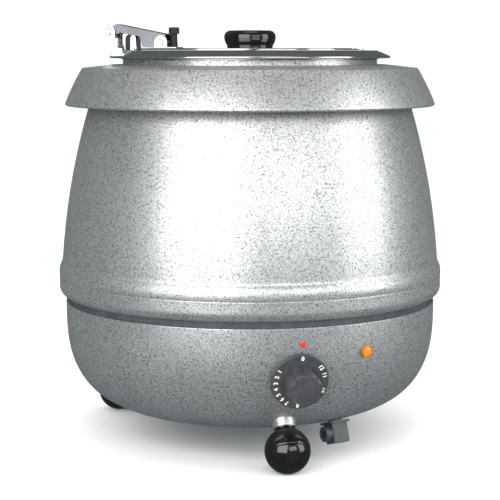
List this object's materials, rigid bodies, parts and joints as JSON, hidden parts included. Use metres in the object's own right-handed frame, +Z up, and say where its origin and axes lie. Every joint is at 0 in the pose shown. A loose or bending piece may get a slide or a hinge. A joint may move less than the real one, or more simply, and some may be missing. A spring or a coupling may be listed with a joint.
{
  "type": "soup kettle",
  "caption": "Countertop electric soup kettle with a bulged hammertone casing, ball feet, lift-out pot, hinged lid on a loose ring and a dial thermostat.",
  "frame": {"origin": "on the kettle's vertical axis, at the level of the feet's flats", "axes": "+Z up, the control knob faces -Y, +X to the right seen from the front"},
  "size_m": [0.3406, 0.3584, 0.366],
  "materials": {
    "hammertone_paint": "hammertone",
    "polished_stainless": "polished",
    "brushed_stainless": "satin",
    "black_plastic": "gloss",
    "matt_black_plastic": "matte",
    "red_plastic": "gloss",
    "amber_plastic": "gloss",
    "zinc_plate": "zinc plated",
    "black_rubber": "matte",
    "cream_plastic": "matte",
    "copper": "drawn"
  },
  "bodies": {
    "kettle": {"base_plate": "zinc_plate", "base_screws": "zinc_plate", "capillary": "copper", "clamp_nut": "zinc_plate", "clamp_stud": "zinc_plate", "collar": "hammertone_paint", "earth_stud": "zinc_plate", "element_clamp": "zinc_plate", "feet": "black_plastic", "foot_bosses": "hammertone_paint", "foot_nuts": "zinc_plate", "foot_studs": "zinc_plate", "gland_body": "matt_black_plastic", "gland_nut": "matt_black_plastic", "heating_element": "brushed_stainless", "knob_pointer": "red_plastic", "lower_shell": "hammertone_paint", "neck_ring": "hammertone_paint", "pilot_bezel": "amber_plastic", "pilot_body": "matt_black_plastic", "pilot_lens": "amber_plastic", "seam_gasket": "black_rubber", "terminal_block": "cream_plastic", "thermal_cutout": "cream_plastic", "thermostat_body": "cream_plastic", "thermostat_bulb": "copper", "thermostat_nut": "zinc_plate", "upper_shell": "hammertone_paint", "well": "brushed_stainless"},
    "pot": {"soup_pot": "brushed_stainless"},
    "ring": {"lid_ring": "polished_stainless", "hinge_bracket": "polished_stainless", "hinge_arch": "polished_stainless", "ring_hinge_pin": "polished_stainless"},
    "link": {"hinge_link": "brushed_stainless"},
    "lid": {"lid": "polished_stainless", "lid_knob": "black_plastic", "lid_knob_screw": "zinc_plate", "lid_lugs": "polished_stainless", "lid_bumper": "black_rubber", "lid_hinge_pin": "polished_stainless"},
    "knob": {"control_knob": "black_plastic", "thermostat_shaft": "zinc_plate"}
  },
  "joints": [
    {"name": "pot_lift", "type": "slide", "parent": "kettle", "child": "pot", "axis": [0, 0, 1], "range_m": [0, 0.27]},
    {"name": "ring_lift", "type": "slide", "parent": "pot", "child": "ring", "axis": [0, 0, 1], "range_m": [0, 0.12]},
    {"name": "link_hinge", "type": "hinge", "parent": "ring", "child": "link", "pos_m": [-0.11172, 0.0645, 0.359], "axis": [-0.5, -0.866, 0], "range_deg": [0, 100]},
    {"name": "lid_hinge", "type": "hinge", "parent": "link", "child": "lid", "pos_m": [-0.06885, 0.03975, 0.3498], "axis": [-0.5, -0.866, 0], "range_deg": [0, 8]},
    {"name": "knob_turn", "type": "hinge", "parent": "kettle", "child": "knob", "pos_m": [-0.00282, -0.16168, 0.081], "axis": [0.017, 0.9761, 0.2169], "range_deg": [0, 305]}
  ],
  "couplings": [
    {"joint": "lid_hinge", "follows": "link_hinge", "ratio": 0.08}
  ]
}
